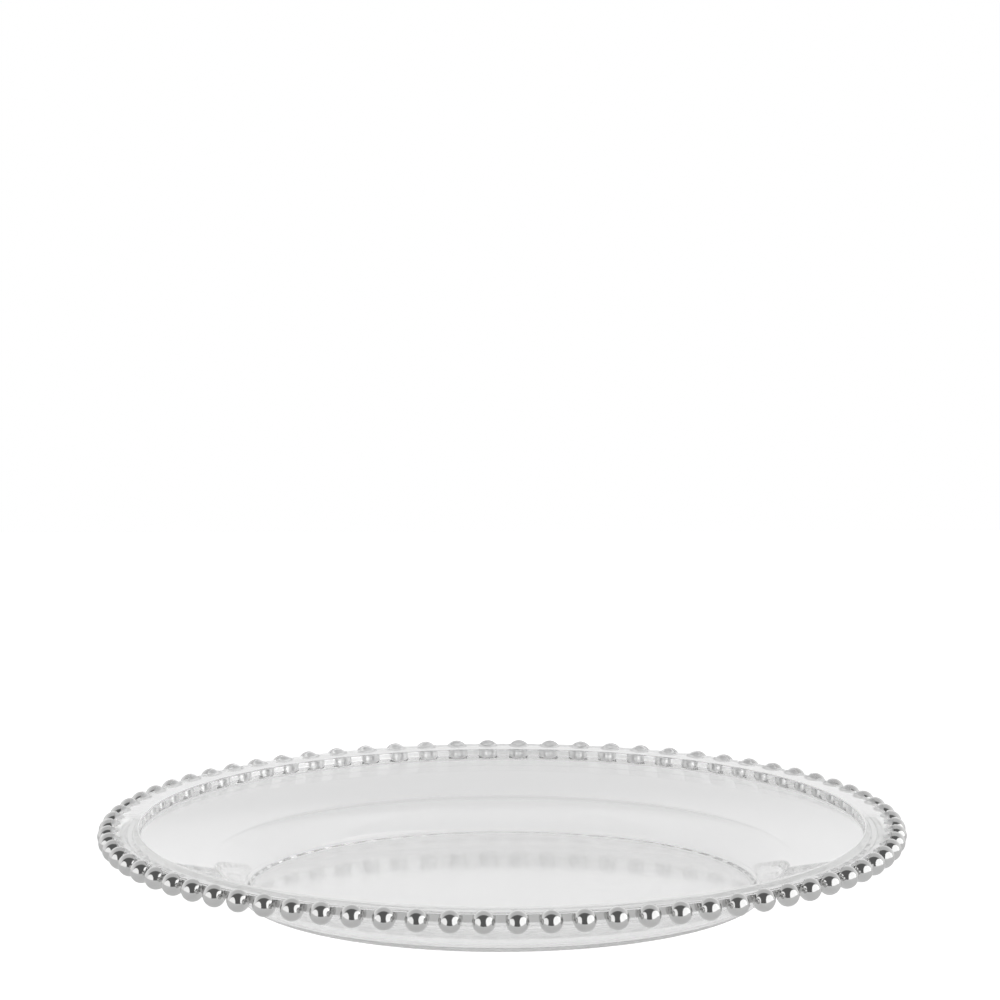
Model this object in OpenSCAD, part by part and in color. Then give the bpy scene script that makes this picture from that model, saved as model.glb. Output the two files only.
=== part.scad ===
// Charger plate in clear pressed glass, with a ring of silvered beads along its lip.
// The origin is the centre of the underside, on the table. +Z is up. Lengths are in millimetres.

/* [Whole plate] */
// Diameter over the outside of the beads
plate_d = 330; // [280:1:380]
// Height from the table to the tops of the beads
plate_h = 29.7; // [25:0.1:40]
// Thickness of the glass in the wall and the rim
glass_t = 3.6; // [2.5:0.1:5]
// Thickness of the glass in the flat base
base_t = 2.6; // [2.5:0.1:6]

/* [Well and rim] */
// Diameter of the corner where the flat well meets its wall
well_d = 208; // [180:1:216]
// Radius that rounds that corner inside
well_fillet_r = 5; // [2:0.5:8]
// Radius of the heel, the outer corner under the wall that the plate stands on
heel_r = 3.5; // [1:0.5:6]
// Diameter of the corner where the wall turns into the rim
shoulder_d = 223; // [217:1:250]
// Radius that rounds that corner
shoulder_r = 21; // [8:1:24]
// How far the rim climbs from the shoulder to the lip
rim_rise = 10.6; // [6:0.1:12]

/* [Lip] */
// Width of the flat lip
lip_w = 11.7; // [9:0.1:16]
// Height of the lip's inner step above the rim
lip_step = 4.4; // [2:0.1:6]
// How far the lip's top stands above the middle of the beads
lip_rise = 3.4; // [1:0.1:3.5]
// Thickness of the lip at its outer edge
lip_edge_t = 4.2; // [2:0.1:5]
// How far the lip's outer edge stops short of the middle of the beads
lip_inset = 0.8; // [0.2:0.1:2]
// How far the lip's outer wall leans in at its lower edge, so that the plate leaves its mould
lip_draft = 1.3; // [0.2:0.1:2]
// Radius on the two edges of that wall
lip_wall_r = 0.5; // [0.2:0.1:0.7]
// Radius on the lip's fire-polished inner corners
lip_edge_r = 0.8; // [0.3:0.1:0.9]

/* [Beads] */
// Beads around the lip
bead_count = 76; // [50:2:90]
// Diameter of one bead, with its silver
bead_d = 9.4; // [7:0.1:10.5]
// Thickness of the silver layer
silver_t = 0.15; // [0.1:0.05:0.4]

/* [Hidden] */
$fn = 96;
// How far the steps along a rounded corner may stray from its true arc
arc_error = 0.02;

bead_ring_r = (plate_d - bead_d) / 2;
bead_z = plate_h - bead_d / 2;
bead_core_r = bead_d / 2 - silver_t;
bead_pitch = 360 / bead_count;

lip_out_r = bead_ring_r - lip_inset;
lip_in_r = lip_out_r - lip_w;
lip_top_z = bead_z + lip_rise;
lip_under_z = lip_top_z - lip_edge_t;
rim_top_z = lip_top_z - lip_step;

// Corners of the upper surface, as [radius, height], from the lip down to the well
rim_top = [lip_in_r, rim_top_z];
shoulder_top = [shoulder_d / 2, rim_top_z - rim_rise];
well_top = [well_d / 2, base_t];

// Corners of the underside, one glass thickness below the rim and the wall
rim_slope = atan2(rim_top.y - shoulder_top.y, rim_top.x - shoulder_top.x);
wall_slope = atan2(shoulder_top.y - well_top.y, shoulder_top.x - well_top.x);
shoulder_under = shoulder_top + glass_t * inner_bisector(rim_slope, wall_slope);
rim_under = rim_top - [0, glass_t / cos(rim_slope)];
heel = [shoulder_under.x - shoulder_under.y / tan(wall_slope), 0];

// The glass body's section: each corner is [radius, height, rounding], anticlockwise from the axis
section_corners = [
    [0, 0, 0],
    [heel.x, heel.y, heel_r],
    [shoulder_under.x, shoulder_under.y, max(shoulder_r - glass_t, lip_edge_r)],
    [rim_under.x, rim_under.y, shoulder_r],
    [lip_out_r - lip_draft, lip_under_z, lip_wall_r],
    [lip_out_r, lip_top_z, lip_wall_r],
    [lip_in_r, lip_top_z, lip_edge_r],
    [rim_top.x, rim_top.y, lip_edge_r],
    [shoulder_top.x, shoulder_top.y, shoulder_r],
    [well_top.x, well_top.y, well_fillet_r],
    [0, base_t, 0],
];

// The lip's outer wall between its two roundings, from its foot up to its head
wall_up = unit(side(section_corners, 4));
wall_out = [wall_up.y, -wall_up.x];
wall_foot = flat(section_corners[4]) + reach(section_corners, 4) * wall_up;
wall_head = flat(section_corners[5]) - reach(section_corners, 5) * wall_up;

// Angle left free between the silver of two beads, a hairline that keeps each bead's silver one piece
film_gap = 0.04;

// Silvered beads are kept two to a node
beads_per_node = 2;
bead_pairs = ceil(bead_count / beads_per_node);

function pair_name(i) = str("silver_bead_pair_", i < 9 ? "0" : "", i + 1);

// From a corner of the upper surface to the same corner of the underside, for a wall 1 thick
function inner_bisector(slope_a, slope_b) =
    let (middle = (slope_a + slope_b) / 2)
    [sin(middle), -cos(middle)] / cos((slope_b - slope_a) / 2);

function flat(corner) = [corner.x, corner.y];
function wrap(list, i) = list[(i + len(list)) % len(list)];
function side(list, i) = flat(wrap(list, i + 1)) - flat(wrap(list, i));

// Signed turn at a corner, in degrees
function turn(list, i) =
    let (a = side(list, i - 1), b = side(list, i))
    atan2(a.x * b.y - a.y * b.x, a * b);

// Length that a corner's rounding takes from each of its two sides
function reach(list, i) = wrap(list, i)[2] * tan(abs(turn(list, i)) / 2);

// Share of its rounding that a corner can have beside its neighbour's on one side
function room(list, i) =
    let (wanted = reach(list, i) + reach(list, i + 1))
    wanted > 0 ? norm(side(list, i)) / wanted : 1;

// Points of one corner, on an arc that is limited by the two sides
function corner_points(list, i) =
    let (
        share = min(1, 0.98 * room(list, i - 1), 0.98 * room(list, i)),
        r = share * wrap(list, i)[2],
        bend = turn(list, i),
        from = atan2(side(list, i - 1).y, side(list, i - 1).x) - sign(bend) * 90,
        start = flat(wrap(list, i)) - share * reach(list, i) * unit(side(list, i - 1)),
        middle = start - r * [cos(from), sin(from)],
        steps = ceil(abs(bend) / (2 * acos(1 - arc_error / max(r, 2 * arc_error))))
    )
    r == 0 ? [flat(wrap(list, i))]
           : [for (s = [0 : steps]) let (a = from + bend * s / steps) middle + r * [cos(a), sin(a)]];

function unit(v) = v / norm(v);

function rounded(list) = [for (i = [0 : len(list) - 1]) each corner_points(list, i)];

// The round dish alone, without its beads
module dish() {
    rotate_extrude() polygon(rounded(section_corners));
}

// Places its children at the middle of bead k, with the gap between two beads on each main axis
module at_bead(k) {
    rotate([0, 0, (k + 0.5) * bead_pitch]) translate([bead_ring_r, 0, bead_z]) children();
}

// The glass is one pressing: the dish, and a round core for each bead
module glass_plate() {
    color([0.93, 0.94, 0.94, 0.4]) union() {
        dish();
        for (k = [0 : bead_count - 1]) at_bead(k) sphere(bead_core_r);
    }
}

// A thin ring astride the lip's outer wall
module wall_ring() {
    rotate_extrude() polygon([
        wall_foot - silver_t * wall_out,
        wall_foot + silver_t * wall_out,
        wall_head + silver_t * wall_out,
        wall_head - silver_t * wall_out,
    ]);
}

// The slice of the plate around bead k, half-way to the next bead on each side
module bead_slice(k) {
    half = (bead_pitch - film_gap) / 2;
    rotate([0, 0, (k + 0.5) * bead_pitch]) linear_extrude(plate_h)
        polygon(plate_d * [[0, 0], [cos(half), -sin(half)], [cos(half), sin(half)]]);
}

// The space above the lip, where the inner side of each bead's crown stays clear glass
module above_lip() {
    translate([0, 0, lip_top_z - lip_wall_r]) cylinder(r = lip_out_r, h = bead_d);
}

// The silver covers a bead's core outside the lip, and the lip's wall beside the bead
module silver_skin(k) {
    difference() {
        union() {
            at_bead(k) sphere(bead_d / 2);
            intersection() {
                wall_ring();
                bead_slice(k);
            }
        }
        at_bead(k) sphere(bead_core_r);
        dish();
        above_lip();
    }
}

module silver_bead_pair(i) {
    first = i * beads_per_node;
    last = min(first + beads_per_node, bead_count) - 1;
    color("silver") for (k = [first : last]) silver_skin(k);
}

glass_plate();
for (i = [0 : bead_pairs - 1])
    silver_bead_pair(i);
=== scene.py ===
# %% [markdown]
# # A charger plate in pressed glass, with silvered beads
#
# The object is a wide plate of clear glass that is pressed in one go: a flat well, a wall, a sloping rim
# and a raised lip. A ring of small glass balls stands out of the lip, and each ball wears a thin bright
# coat of silver. We load the CAD model as a fixed frame first, so that everything we model later sits
# exactly where the solid parts say, in metres.

# %% Load the CAD model
from math import atan2, ceil, cos, degrees, pi, radians, sin, tan

import bmesh
import bpy
from mathutils import Euler, Matrix, Vector


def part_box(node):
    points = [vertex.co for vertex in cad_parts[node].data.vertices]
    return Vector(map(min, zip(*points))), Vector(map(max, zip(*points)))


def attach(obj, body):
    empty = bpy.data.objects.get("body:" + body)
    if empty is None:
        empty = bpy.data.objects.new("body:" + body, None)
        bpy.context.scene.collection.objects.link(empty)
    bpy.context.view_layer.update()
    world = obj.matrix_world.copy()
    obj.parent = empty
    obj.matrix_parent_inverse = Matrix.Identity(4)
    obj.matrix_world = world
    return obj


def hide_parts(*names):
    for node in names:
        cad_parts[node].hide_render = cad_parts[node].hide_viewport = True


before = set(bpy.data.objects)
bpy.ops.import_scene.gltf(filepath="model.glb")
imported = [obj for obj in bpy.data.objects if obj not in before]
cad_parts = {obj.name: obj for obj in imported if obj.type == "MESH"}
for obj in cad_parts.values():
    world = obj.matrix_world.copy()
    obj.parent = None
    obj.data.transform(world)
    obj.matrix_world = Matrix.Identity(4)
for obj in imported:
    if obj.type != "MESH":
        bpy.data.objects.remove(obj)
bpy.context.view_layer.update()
MM = 0.001

# %% [markdown]
# ## Measure the beads
#
# The silver coats are CAD nodes of two beads each, so the frame already knows how many beads there are,
# how large they are and where they stand. We could type these numbers in again, but reading them from
# the nodes' boxes keeps the picture and the solid model together when the plate is resized.

# %% Measure the beads
silver_nodes = sorted(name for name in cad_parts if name.startswith("silver_bead_pair"))
BEADS_PER_NODE = 2
bead_count = BEADS_PER_NODE * len(silver_nodes)
bead_pitch = 2 * pi / bead_count

pair_low, pair_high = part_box(silver_nodes[0])
bead_r = (pair_high[2] - pair_low[2]) / 2
bead_z = (pair_high[2] + pair_low[2]) / 2
bead_ring_r = (pair_high[0] - bead_r) / cos(bead_pitch / 2)
print(f"{bead_count} beads of {2 * bead_r / MM:.2f} mm, ring radius {bead_ring_r / MM:.2f} mm")

# %% [markdown]
# ## The plate's section
#
# A pressed plate is round, so one half section says all about its shape: the line that you would see if
# the plate were sawn through the middle. We name the sizes of that section and work out its corners. Each
# corner holds a radius, a height and how far it is rounded. The underside follows the upper side at one
# glass thickness, as the press makes it. The lip's outer wall leans in at its foot, as a wall must that
# has to slip out of a mould, and so it mirrors the table below it.

# %% Name the sizes and find the corners
GLASS_T = 3.6 * MM
BASE_T = 2.6 * MM
WELL_R = 104 * MM
WELL_FILLET = 5 * MM
HEEL_ROUND = 3.5 * MM
SHOULDER_R = 111.5 * MM
SHOULDER_ROUND = 21 * MM
RIM_RISE = 10.6 * MM
LIP_W = 11.7 * MM
LIP_STEP = 4.4 * MM
LIP_RISE = 3.4 * MM
LIP_EDGE_T = 4.2 * MM
LIP_INSET = 0.8 * MM
LIP_DRAFT = 1.3 * MM
LIP_WALL_ROUND = 0.5 * MM
LIP_ROUND = 0.8 * MM

lip_out_r = bead_ring_r - LIP_INSET
lip_in_r = lip_out_r - LIP_W
lip_top_z = bead_z + LIP_RISE
rim_top = Vector((lip_in_r, lip_top_z - LIP_STEP))
shoulder_top = Vector((SHOULDER_R, rim_top.y - RIM_RISE))
well_top = Vector((WELL_R, BASE_T))

rim_slope = atan2(*(rim_top - shoulder_top).yx)
wall_slope = atan2(*(shoulder_top - well_top).yx)
bisector = (rim_slope + wall_slope) / 2
under_step = GLASS_T / cos((wall_slope - rim_slope) / 2)
shoulder_under = shoulder_top + under_step * Vector((sin(bisector), -cos(bisector)))
rim_under = rim_top - Vector((0, GLASS_T / cos(rim_slope)))
heel_r = shoulder_under.x - shoulder_under.y / tan(wall_slope)

section_corners = [
    (0, 0, 0),
    (heel_r, 0, HEEL_ROUND),
    (*shoulder_under, SHOULDER_ROUND - GLASS_T),
    (*rim_under, SHOULDER_ROUND),
    (lip_out_r - LIP_DRAFT, lip_top_z - LIP_EDGE_T, LIP_WALL_ROUND),
    (lip_out_r, lip_top_z, LIP_WALL_ROUND),
    (lip_in_r, lip_top_z, LIP_ROUND),
    (*rim_top, LIP_ROUND),
    (*shoulder_top, SHOULDER_ROUND),
    (*well_top, WELL_FILLET),
    (0, BASE_T, 0),
]
WALL_FOOT, WALL_HEAD = 4, 5
print(f"rim slope {degrees(rim_slope):.1f}, wall slope {degrees(wall_slope):.1f} degrees")

# %% [markdown]
# ## Draw the section and round its corners
#
# Hot glass leaves no sharp corner, and each rounding bends light into a bright or dark line, so the
# roundings matter more on glass than on any other material. We could compute points along every arc, but
# Bevel does that for us: it works on single vertices too and turns the corner of a wire into an arc.
# Bevel wants the length that it may take from each side, which is the radius times tan(turn / 2).

# %% Draw the section as a wire
ARC_STEP = radians(6)


def corner_turn(i):
    """The angle by which the section turns at corner i."""
    before, here, after = (Vector(corner[:2]) for corner in section_corners[i - 1:i + 2])
    return (here - before).angle(after - here)


def corner_reach(i):
    """The length that the rounding of corner i takes from each of its two sides."""
    return section_corners[i][2] * tan(corner_turn(i) / 2)


def draw_section(bm):
    """Draws the section in the XZ plane, from the middle of the foot round to the middle of the well."""
    points = [bm.verts.new((radius, 0, height)) for radius, height, _ in section_corners]
    for start, end in zip(points, points[1:]):
        bm.edges.new((start, end))
    for i in range(1, len(points) - 1):
        steps = ceil(corner_turn(i) / ARC_STEP)
        bmesh.ops.bevel(bm, geom=[points[i]], offset=corner_reach(i), offset_type="ABSOLUTE",
                        segments=steps, profile=0.5, affect="VERTICES", material=-1)
    print(f"section of {len(bm.verts)} points from {len(points)} corners")


# %% [markdown]
# ## One wedge of the plate
#
# The plate repeats itself at every bead, so it is enough to model one slice of it, one bead wide, and to
# copy that slice round the middle later. Spin sweeps the wire through the slice's angle. The two cut
# faces are filled in, because the next step, a Boolean, wants a closed solid.

# %% Spin one closed wedge
WEDGE_STEPS = 5
TOUCHING = 0.002 * MM
Z_AXIS = (0, 0, 1)
ORIGIN = (0, 0, 0)

wedge = bmesh.new()
draw_section(wedge)
bmesh.ops.spin(wedge, geom=wedge.verts[:] + wedge.edges[:], cent=ORIGIN, axis=Z_AXIS,
               angle=bead_pitch, steps=WEDGE_STEPS)
bmesh.ops.remove_doubles(wedge, verts=wedge.verts, dist=TOUCHING)


def on_first_cut(item):
    """True if an edge or a face lies in the plane where the wedge starts."""
    return all(abs(vert.co.y) < TOUCHING for vert in item.verts)


def on_last_cut(item):
    """True if an edge or a face lies in the plane where the wedge ends."""
    across = Vector((-sin(bead_pitch), cos(bead_pitch), 0))
    return all(abs(vert.co.dot(across)) < TOUCHING for vert in item.verts)


open_edges = [edge for edge in wedge.edges if edge.is_boundary]
middle = wedge.edges.new([vert for vert in wedge.verts if vert.co.xy.length < TOUCHING])
for on_cut in (on_first_cut, on_last_cut):
    bmesh.ops.edgeloop_fill(wedge, edges=[edge for edge in open_edges if on_cut(edge)] + [middle])
bmesh.ops.recalc_face_normals(wedge, faces=wedge.faces)
print(f"wedge of {len(wedge.faces)} faces, open edges left: {sum(not e.is_manifold for e in wedge.edges)}")

# %% [markdown]
# ## Join the bead's core to the lip
#
# Lip and bead core are one piece of glass. If we only pushed a ball into the lip, light would meet a
# glass wall inside the glass and bend where nothing is, so the two are joined with a Boolean union, which
# removes the walls between them. The helper below runs Blender's Boolean modifier on two meshes and gives
# back a new mesh. The silver will use it too.

# %% Join a bead core to the wedge
SILVER_T = 0.15 * MM
CORE_DETAIL = 3
core_r = bead_r - SILVER_T
bead_place = Matrix.Rotation(bead_pitch / 2, 4, "Z") @ Matrix.Translation((bead_ring_r, 0, bead_z))


def ball(radius, detail):
    """A round ball at the middle of the wedge's bead."""
    bm = bmesh.new()
    bmesh.ops.create_icosphere(bm, subdivisions=detail, radius=radius, matrix=bead_place)
    return bm


def temporary_object(bm):
    """A scene object with a copy of a bmesh, which a modifier can work on."""
    mesh = bpy.data.meshes.new("temporary")
    bm.to_mesh(mesh)
    made = bpy.data.objects.new("temporary", mesh)
    bpy.context.scene.collection.objects.link(made)
    return made


def boolean(bm, other, operation):
    """Joins the second bmesh to the first or cuts it away, and returns the result as a new bmesh."""
    body, tool = temporary_object(bm), temporary_object(other)
    modifier = body.modifiers.new("boolean", "BOOLEAN")
    modifier.object, modifier.operation, modifier.solver = tool, operation, "EXACT"
    result = bmesh.new()
    result.from_object(body, bpy.context.evaluated_depsgraph_get())
    for used in (body, tool):
        bpy.data.meshes.remove(used.data)
    return result


beaded_wedge = boolean(wedge, ball(core_r, CORE_DETAIL), "UNION")
print(f"wedge with its bead core: {len(beaded_wedge.faces)} faces")

# %% [markdown]
# ## Repeat the wedge into the whole plate
#
# The cut faces have done their work and come off again. Spin can also copy instead of sweep, so it turns
# the wedge into a full circle of wedges, and merging the doubles welds each to the next. Edges that bend
# sharply, as where a bead meets the lip, are marked sharp. The rest is shaded smooth, with normals
# weighted by area, so that the flat well and lip stay truly flat up to their roundings.

# %% Repeat the wedge and make the glass piece
SHARP_BEND = radians(35)
ML = (10 * MM) ** 3


def shade_smooth(bm):
    """Shades every face smooth, apart from edges that bend sharply."""
    for face in bm.faces:
        face.smooth = True
    for edge in bm.edges:
        edge.smooth = edge.calc_face_angle(pi) < SHARP_BEND


def make_piece(bm, name, slot, *nodes):
    """Turns a bmesh into a piece of the plate that stands for CAD nodes."""
    shade_smooth(bm)
    mesh = bpy.data.meshes.new(name)
    bm.to_mesh(mesh)
    piece = bpy.data.objects.new(name, mesh)
    bpy.context.scene.collection.objects.link(piece)
    weighting = piece.modifiers.new("flat faces stay flat", "WEIGHTED_NORMAL")
    weighting.keep_sharp = True
    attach(piece, "root")
    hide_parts(*nodes)
    return piece


cut_faces = [face for face in beaded_wedge.faces if on_first_cut(face) or on_last_cut(face)]
bmesh.ops.delete(beaded_wedge, geom=cut_faces, context="FACES")
bmesh.ops.spin(beaded_wedge, geom=beaded_wedge.verts[:] + beaded_wedge.edges[:] + beaded_wedge.faces[:],
               cent=ORIGIN, axis=Z_AXIS, angle=2 * pi - bead_pitch, steps=bead_count - 1,
               use_duplicate=True)
bmesh.ops.remove_doubles(beaded_wedge, verts=beaded_wedge.verts, dist=TOUCHING)
bmesh.ops.recalc_face_normals(beaded_wedge, faces=beaded_wedge.faces)
open_seams = sum(not edge.is_manifold for edge in beaded_wedge.edges)
glass_ml = beaded_wedge.calc_volume() / ML
glass_plate = make_piece(beaded_wedge, "pressed_glass_plate", "clear_glass", "glass_plate")
print(f"glass: {len(glass_plate.data.polygons)} faces, {glass_ml:.1f} ml, open edges: {open_seams}")

# %% [markdown]
# ## One silver coat
#
# The silver is brushed onto the plate's edge from outside and fired. It covers each bead outside the lip
# and runs on along the lip's outer wall to the next bead, and the inner side of each bead's crown stays
# clear. Such a thin shell is best cut from solids: a full ball loses the plate's wedge and all that lies
# above the lip, takes on a strip that follows the wall, and then loses its inside. Silver that is fired on
# touches the glass with no air between. Two surfaces in the very same place would flicker, so the silver's
# back is set a hair into the glass.

# %% Cut one silver coat
CONTACT = 0.02 * MM
COAT_DETAIL = 4


def wall_strip():
    """The silver on the lip's outer wall between its two roundings, one wedge wide."""
    foot, head = (Vector(section_corners[i][:2]) for i in (WALL_FOOT, WALL_HEAD))
    up = (head - foot).normalized()
    out = Vector((up.y, -up.x))
    foot += corner_reach(WALL_FOOT) * up
    head -= corner_reach(WALL_HEAD) * up
    strip = bmesh.new()
    strip.faces.new([strip.verts.new((point.x, 0, point.y)) for point in (
        foot - CONTACT * out, foot + SILVER_T * out, head + SILVER_T * out, head - CONTACT * out)])
    bmesh.ops.spin(strip, geom=strip.verts[:] + strip.edges[:] + strip.faces[:], cent=ORIGIN, axis=Z_AXIS,
                   angle=bead_pitch, steps=WEDGE_STEPS)
    bmesh.ops.recalc_face_normals(strip, faces=strip.faces)
    print(f"strip {(head - foot).length / MM:.2f} mm tall, open edges: "
          f"{sum(not edge.is_manifold for edge in strip.edges)}")
    return strip


def above_lip():
    """The round space above the lip, from the rounding of its outer edge upwards."""
    space = bmesh.new()
    height = 2 * bead_r
    bmesh.ops.create_cone(space, cap_ends=True, segments=bead_count * WEDGE_STEPS, radius1=lip_out_r,
                          radius2=lip_out_r, depth=height)
    bmesh.ops.translate(space, verts=space.verts, vec=(0, 0, lip_top_z - LIP_WALL_ROUND + height / 2))
    return space


notched_ball = boolean(ball(bead_r, COAT_DETAIL), wedge, "DIFFERENCE")
outer_ball = boolean(notched_ball, above_lip(), "DIFFERENCE")
solid_coat = boolean(outer_ball, wall_strip(), "UNION")
coat = boolean(solid_coat, ball(core_r - CONTACT, CORE_DETAIL), "DIFFERENCE")
print(f"coat of {len(coat.faces)} faces, {coat.calc_volume() / MM ** 3:.1f} cubic mm")

# %% [markdown]
# ## The two sides of the silver, and all the coats
#
# A silver film has two sides. Outside it is a bright mirror, and its back is seen through the glass, so
# the faces that lie on glass get a material number of their own. The finished coat is then copied round
# the plate, two beads to a piece, as in the CAD model.

# %% Mark the silver's back and make the pieces
bead_middle = bead_place.to_translation()


def lies_on_glass(face):
    """True if a face of the coat lies on the bead's core or on the lip's wall."""
    centre = face.calc_center_median()
    from_bead = (centre - bead_middle).length
    return from_bead < core_r or (from_bead > bead_r + CONTACT and face.normal.xy.dot(centre.xy) < 0)


coat.normal_update()
for face in coat.faces:
    face.material_index = int(lies_on_glass(face))
coat_mesh = bpy.data.meshes.new("coat")
coat.to_mesh(coat_mesh)

silver_pieces = []
for i, node in enumerate(silver_nodes):
    pair = bmesh.new()
    pair.from_mesh(coat_mesh)
    bmesh.ops.spin(pair, geom=pair.verts[:] + pair.edges[:] + pair.faces[:], cent=ORIGIN, axis=Z_AXIS,
                   angle=bead_pitch, steps=BEADS_PER_NODE - 1, use_duplicate=True)
    turn = Matrix.Rotation(i * BEADS_PER_NODE * bead_pitch, 3, "Z")
    bmesh.ops.rotate(pair, verts=pair.verts, cent=ORIGIN, matrix=turn)
    silver_pieces.append(make_piece(pair, f"silvered_beads_{i + 1:02d}", "silver_lustre", node))
print(f"{len(silver_pieces)} pieces of {len(silver_pieces[0].data.polygons)} faces")

# %% [markdown]
# ## Helpers for materials
#
# Colours are written as the hex values that a picture shows, which are sRGB, while shaders reckon in
# linear light, so one function turns the one into the other. A second one adds a node, with its settings
# and its links, so that each material below reads as a list of what it is made of.

# %% Colour and node helpers


def linear(hex_colour):
    """An sRGB hex colour as linear red, green, blue and alpha."""
    channels = [int(hex_colour[i:i + 2], 16) / 255 for i in (0, 2, 4)]
    return (*[c / 12.92 if c <= 0.04045 else ((c + 0.055) / 1.055) ** 2.4 for c in channels], 1)


def add_node(tree, kind, inputs=None, **settings):
    """Adds a node, sets its properties, and sets or links its inputs."""
    node = tree.nodes.new(kind)
    for name, value in settings.items():
        setattr(node, name, value)
    for name, value in (inputs or {}).items():
        if isinstance(value, bpy.types.NodeSocket):
            tree.links.new(value, node.inputs[name])
        else:
            node.inputs[name].default_value = value
    return node


def new_material(name):
    """An empty node material and its node tree."""
    material = bpy.data.materials.new(name)
    material.use_nodes = True
    material.node_tree.nodes.clear()
    return material, material.node_tree


print("pale grey E3E3E3 is", round(linear("E3E3E3")[0], 3), "in linear light")

# %% [markdown]
# ## Clear glass
#
# The plate is soda-lime glass, which bends light with an index of 1.52. It is pressed between iron
# moulds, so the skin is not quite flat: it has shallow waves a few centimetres long, and it is a touch
# less glossy in some places than in others. The flat of the well, where the plunger pressed, is faintly
# satin and mirrors the far lip only softly. The melt itself takes a little of the light: a thin pane looks
# clear, but where light has run along inside the glass, as in the foot, it comes out grey. That is the
# work of the absorbing volume. Real glass lets lamp light through and hardly shades the table. Refracted
# light is slow to find for a path tracer, so for shadow rays the surface is made plainly transparent.

# %% Glass material
GLASS_IOR = 1.52
ABSORPTION = 1.8
WAVE_LENGTH = 26 * MM
WAVE_HEIGHT = 0.012 * MM
BLOOM_SIZE = 9 * MM
BLOOM_ROUGHNESS = 0.02
WELL_ROUGHNESS = 0.08
WELL_EDGE = 0.1 * MM


def pressed_clear_glass():
    """Soda-lime glass from a press: clear, smooth and a little wavy."""
    material, tree = new_material("pressed_clear_glass")
    place = add_node(tree, "ShaderNodeTexCoord").outputs["Object"]
    waves = add_node(tree, "ShaderNodeTexNoise", {"Vector": place, "Scale": 1 / WAVE_LENGTH, "Detail": 1})
    swell = add_node(tree, "ShaderNodeBump", {"Height": waves.outputs["Fac"], "Strength": 1,
                                              "Distance": WAVE_HEIGHT})
    bloom = add_node(tree, "ShaderNodeTexNoise", {"Vector": place, "Scale": 1 / BLOOM_SIZE, "Detail": 3})
    height = add_node(tree, "ShaderNodeSeparateXYZ", {"Vector": place}).outputs["Z"]
    in_well = add_node(tree, "ShaderNodeMath", {0: height, 1: BASE_T, 2: WELL_EDGE}, operation="COMPARE")
    satin = add_node(tree, "ShaderNodeMath", {0: in_well.outputs[0], 1: WELL_ROUGHNESS},
                     operation="MULTIPLY")
    gloss = add_node(tree, "ShaderNodeMath", {0: bloom.outputs["Fac"], 1: BLOOM_ROUGHNESS,
                                              2: satin.outputs[0]}, operation="MULTIPLY_ADD")
    glass = add_node(tree, "ShaderNodeBsdfPrincipled", {
        "Base Color": linear("FCFCFC"), "Transmission Weight": 1, "IOR": GLASS_IOR,
        "Roughness": gloss.outputs[0], "Normal": swell.outputs["Normal"]})
    clear = add_node(tree, "ShaderNodeBsdfTransparent", {"Color": linear("F7F7F7")})
    shadow = add_node(tree, "ShaderNodeLightPath").outputs["Is Shadow Ray"]
    mixed = add_node(tree, "ShaderNodeMixShader", {0: shadow, 1: glass.outputs[0], 2: clear.outputs[0]})
    tint = add_node(tree, "ShaderNodeVolumeAbsorption", {"Color": linear("BFC0BE"), "Density": ABSORPTION})
    add_node(tree, "ShaderNodeOutputMaterial", {"Surface": mixed.outputs[0], "Volume": tint.outputs[0]})
    return material


glass_plate.data.materials.append(pressed_clear_glass())
print("glass material on", glass_plate.name)

# %% [markdown]
# ## Silver lustre
#
# The edge is painted with a solution of silver and fired, which leaves a bright metal film. It mirrors
# the room, but it is a little greyer than solid silver, and its mirror image wavers, because the film
# follows a pressed ball and pools slightly as it dries. The back of the film, seen through the glass, is
# paler and more satin than its outside, so one function makes both from two tones and a roughness. A Mix
# node has sockets for every kind of value, several of them with the same name, so we ask for the two
# colours and the mixed colour by their numbers.

# %% Silver material
POOL_SIZE = 5 * MM
DENT_SIZE = 6 * MM
DENT_DEPTH = 0.12 * MM
COLOUR_A, COLOUR_B, MIXED_COLOUR = 6, 7, 2


def fired_silver(name, light_tone, dark_tone, roughness):
    """A fired silver film on glass: a grey mirror that wavers, with slight pools."""
    material, tree = new_material(name)
    place = add_node(tree, "ShaderNodeTexCoord").outputs["Object"]
    pools = add_node(tree, "ShaderNodeTexNoise", {"Vector": place, "Scale": 1 / POOL_SIZE, "Detail": 2})
    tone = add_node(tree, "ShaderNodeMix", {0: pools.outputs["Fac"], COLOUR_A: linear(light_tone),
                                            COLOUR_B: linear(dark_tone)}, data_type="RGBA")
    gloss = add_node(tree, "ShaderNodeMapRange", {"Value": pools.outputs["Fac"], "To Min": roughness[0],
                                                  "To Max": roughness[1]})
    dents = add_node(tree, "ShaderNodeTexNoise", {"Vector": place, "Scale": 1 / DENT_SIZE, "Detail": 0})
    waver = add_node(tree, "ShaderNodeBump", {"Height": dents.outputs["Fac"], "Strength": 1,
                                              "Distance": DENT_DEPTH})
    silver = add_node(tree, "ShaderNodeBsdfPrincipled", {
        "Base Color": tone.outputs[MIXED_COLOUR], "Metallic": 1, "Roughness": gloss.outputs["Result"],
        "Normal": waver.outputs["Normal"]})
    add_node(tree, "ShaderNodeOutputMaterial", {"Surface": silver.outputs[0]})
    return material


lustre = fired_silver("fired_silver_lustre", "D8D8D7", "CECECE", roughness=(0.08, 0.14))
mirror_back = fired_silver("silver_mirror_on_glass", "FFFFFF", "F8F8F8", roughness=(0.28, 0.36))
for piece in silver_pieces:
    piece.data.materials.append(lustre)
    piece.data.materials.append(mirror_back)
print("silver material on", len(silver_pieces), "pieces")

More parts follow.
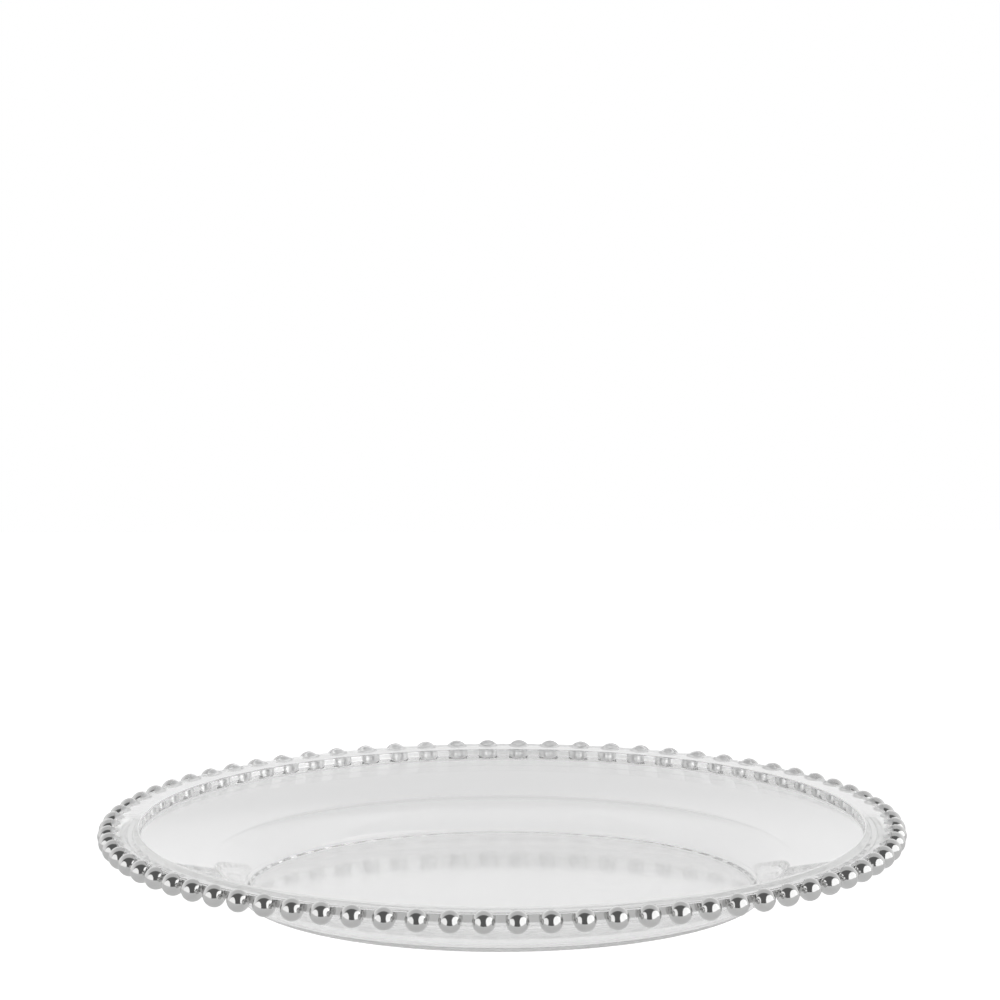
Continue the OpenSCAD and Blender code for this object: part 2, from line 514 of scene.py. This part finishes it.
# %% [markdown]
# ## A white floor
#
# The plate lies on a white table that fills the picture and ends a little in front of the plate: its front
# edge draws the line across the lower half of every bead. Lit plainly, a white table renders as a pale
# grey, so it glows for the camera until it is white, and less in mirrors and through glass, which show it
# as the pale grey that it is. The glow is added to the lit colour, so a shadow still shows. The table lies
# a tenth of a millimetre below the foot, as a real one touches glass only here and there.

# %% Floor
TABLE_FRONT = -0.205
TABLE_BACK = 0.8
TABLE_HALF_W = 0.75
TABLE_GAP = 0.1 * MM
CAMERA_GLOW = 0.64
MIRROR_GLOW = 0.23
GLASS_GLOW = 0.02


def matt_white_table():
    """Matt white table top, pale grey in light, with a glow that lifts it to white in the picture."""
    material, tree = new_material("matt_white_table")
    light_path = add_node(tree, "ShaderNodeLightPath").outputs
    glow = 0
    for ray, part in (("Is Camera Ray", CAMERA_GLOW), ("Is Glossy Ray", MIRROR_GLOW),
                      ("Is Transmission Ray", GLASS_GLOW)):
        glow = add_node(tree, "ShaderNodeMath", {0: light_path[ray], 1: part, 2: glow},
                        operation="MULTIPLY_ADD").outputs[0]
    lit = add_node(tree, "ShaderNodeBsdfDiffuse", {"Color": linear("E7E7E7")})
    glowing = add_node(tree, "ShaderNodeEmission", {"Strength": glow})
    both = add_node(tree, "ShaderNodeAddShader", {0: lit.outputs[0], 1: glowing.outputs[0]})
    add_node(tree, "ShaderNodeOutputMaterial", {"Surface": both.outputs[0]})
    return material


floor_bm = bmesh.new()
bmesh.ops.create_grid(floor_bm, x_segments=1, y_segments=1, size=1)
bmesh.ops.scale(floor_bm, verts=floor_bm.verts, vec=(TABLE_HALF_W, (TABLE_BACK - TABLE_FRONT) / 2, 1))
bmesh.ops.translate(floor_bm, verts=floor_bm.verts, vec=(0, (TABLE_BACK + TABLE_FRONT) / 2, -TABLE_GAP))
floor_mesh = bpy.data.meshes.new("floor")
floor_bm.to_mesh(floor_mesh)
floor_mesh.materials.append(matt_white_table())
floor = bpy.data.objects.new("floor", floor_mesh)
bpy.context.scene.collection.objects.link(floor)
print("table", 2 * TABLE_HALF_W, "m wide")

# %% [markdown]
# ## The studio around it
#
# Glass and silver have hardly any colour of their own: they show the room. The room here is a tent of
# pale cloth that covers the back half and ends overhead, and the photographer's half is dark. It draws
# the dark heart in every bead. The cloth is brightest low down, where the lamps reach it, and greyer
# overhead, which gives each bead a light edge and a grey crown. Seen straight by the camera the tent is
# white. For light that has passed through glass the room is evenly pale, because a dark half would fill
# such a clear plate with streaks.

# %% World
TENT_WALL = 0.98
TENT_TOP = 0.66
TENT_DARK = 0.135
THROUGH_GLASS = 0.7
CAMERA_WHITE = 1.0
OPENING_EDGE = (-0.12, 0.06)
CLOTH_FADE = (0.25, 0.85)
VALUE_A, VALUE_B = 2, 3

world = bpy.data.worlds.new("tent")
bpy.context.scene.world = world
world.use_nodes = True
sky = world.node_tree
sky.nodes.clear()
towards = add_node(sky, "ShaderNodeTexCoord").outputs["Generated"]
axes = add_node(sky, "ShaderNodeSeparateXYZ", {"Vector": towards}).outputs
cloth = add_node(sky, "ShaderNodeMapRange", {
    "Value": axes["Z"], "From Min": CLOTH_FADE[0], "From Max": CLOTH_FADE[1],
    "To Min": TENT_WALL, "To Max": TENT_TOP}, interpolation_type="SMOOTHSTEP").outputs["Result"]
strength = add_node(sky, "ShaderNodeMapRange", {
    "Value": axes["Y"], "From Min": OPENING_EDGE[0], "From Max": OPENING_EDGE[1],
    "To Min": TENT_DARK, "To Max": cloth}, interpolation_type="SMOOTHSTEP").outputs["Result"]
rays = add_node(sky, "ShaderNodeLightPath").outputs
for ray, level in (("Is Transmission Ray", THROUGH_GLASS), ("Is Camera Ray", CAMERA_WHITE)):
    strength = add_node(sky, "ShaderNodeMix", {0: rays[ray], VALUE_A: strength, VALUE_B: level},
                        data_type="FLOAT").outputs[0]
background = add_node(sky, "ShaderNodeBackground", {"Color": linear("FFFFFF"), "Strength": strength})
add_node(sky, "ShaderNodeOutputWorld", {"Surface": background.outputs[0]})
print("tent ready")

# %% [markdown]
# ## Two softboxes
#
# A large round lamp stands on each side of the camera, and reaches down past the table's edge. In the
# beads they show as two white spots with a dark post between them. A lamp's brightness is its power
# divided by pi and by its area, so we choose how bright its face is and work out the power.

# %% Softboxes
LAMP_DISTANCE = 2.1


def softbox(name, azimuth, elevation, width, height, brightness):
    """A soft round lamp that faces the plate. Azimuth 0 is the camera's side."""
    lamp = bpy.data.lights.new(name, "AREA")
    lamp.shape = "ELLIPSE"
    lamp.size, lamp.size_y = width, height
    lamp.energy = brightness * pi * (pi / 4 * width * height)
    stand = bpy.data.objects.new(name, lamp)
    back = Vector((sin(azimuth) * cos(elevation), -cos(azimuth) * cos(elevation), sin(elevation)))
    stand.location = LAMP_DISTANCE * back
    stand.rotation_euler = back.to_track_quat("Z", "Y").to_euler()
    bpy.context.scene.collection.objects.link(stand)
    print(f"{name}: {lamp.energy:.1f} W")


softbox("softbox_left", azimuth=radians(-57), elevation=0, width=2.5, height=3.1, brightness=1.13)
softbox("softbox_right", azimuth=radians(60), elevation=radians(5), width=3.5, height=4.1, brightness=1.33)

# %% [markdown]
# ## The camera
#
# The picture is taken with a long lens from a little above the table, so the ring of beads shows as a
# flat ellipse. The ellipse's shape gives the elevation and its size the distance. The plate lies low in
# the picture: we aim so that the middle of the ring falls on its own pixel, and no lens shift is needed.
# The camera is not quite level, so that pixel is first turned back about the middle of the picture.
# A small turn about the plate puts each bead at its place along the ring. Light can bounce many dozens of
# times inside a lip of glass before it comes out, and a path that is cut short is black, so the limits on
# bounces are set high.

# %% Camera
IMAGE_SIDE = 1000
FOCAL_PIXELS = 8773
RING_PIXEL = (502, 832.8)
CAMERA_ELEVATION = radians(12.57)
CAMERA_DISTANCE = 3.58
CAMERA_TURN = radians(0.22)
CAMERA_ROLL = radians(0.12)
FAR_CLIP = 100
BOUNCES = 128

camera = bpy.data.cameras.new("camera")
camera.lens = FOCAL_PIXELS / IMAGE_SIDE * camera.sensor_width
camera.clip_end = FAR_CLIP
viewpoint = bpy.data.objects.new("camera", camera)
image_middle = Vector((IMAGE_SIDE / 2, IMAGE_SIDE / 2))
level_pixel = Matrix.Rotation(CAMERA_ROLL, 2) @ (Vector(RING_PIXEL) - image_middle)
aside = -level_pixel.x / FOCAL_PIXELS * CAMERA_DISTANCE
viewpoint.location = Matrix.Rotation(CAMERA_TURN, 3, "Z") @ Vector((
    aside, -CAMERA_DISTANCE * cos(CAMERA_ELEVATION), bead_z + CAMERA_DISTANCE * sin(CAMERA_ELEVATION)))
tilt = CAMERA_ELEVATION - atan2(level_pixel.y, FOCAL_PIXELS)
level_view = Euler((pi / 2 - tilt, 0, CAMERA_TURN)).to_matrix()
viewpoint.rotation_euler = (level_view @ Matrix.Rotation(-CAMERA_ROLL, 3, "Z")).to_euler()
bpy.context.scene.collection.objects.link(viewpoint)
bpy.context.scene.camera = viewpoint
bpy.context.scene.view_settings.view_transform = "Standard"
cycles = bpy.context.scene.cycles
cycles.max_bounces = BOUNCES
cycles.glossy_bounces = BOUNCES
cycles.transmission_bounces = BOUNCES
print(f"lens {camera.lens:.0f} mm, looking {degrees(tilt):.1f} degrees down")
